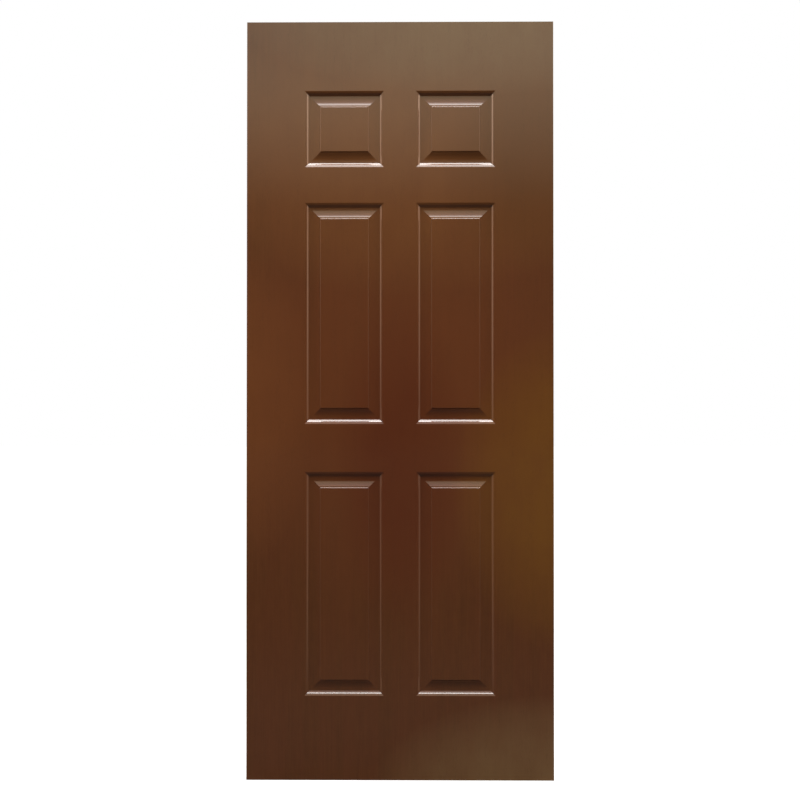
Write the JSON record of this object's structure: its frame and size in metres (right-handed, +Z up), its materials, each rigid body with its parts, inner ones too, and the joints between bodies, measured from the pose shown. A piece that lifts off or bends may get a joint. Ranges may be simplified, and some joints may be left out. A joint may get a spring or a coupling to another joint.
{
  "type": "six-panel interior door leaf",
  "caption": "Interior door leaf with raised panels: wood-grained moulded skins over a softwood frame, lock blocks and a paper honeycomb core",
  "frame": {"origin": "the middle of the leaf's bottom edge, half way through its thickness", "axes": "+Z up the leaf, +X to the right seen from the front, the front face looks along -Y"},
  "size_m": [0.826, 0.04, 2.04],
  "materials": {
    "skin": "satin dark brown, fine upright grain",
    "frame_timber": "planed softwood, outer edges finished like the skins",
    "fastener_steel": "plain steel strip",
    "core_paper": "brown kraft paper"
  },
  "bodies": {
    "root": {"front_skin": "skin", "back_skin": "skin", "left_stile": "frame_timber", "right_stile": "frame_timber", "top_rail": "frame_timber", "bottom_rail": "frame_timber", "left_lock_block": "frame_timber", "right_lock_block": "frame_timber", "corner_fasteners": "fastener_steel", "honeycomb_core": "core_paper"}
  },
  "joints": []
}
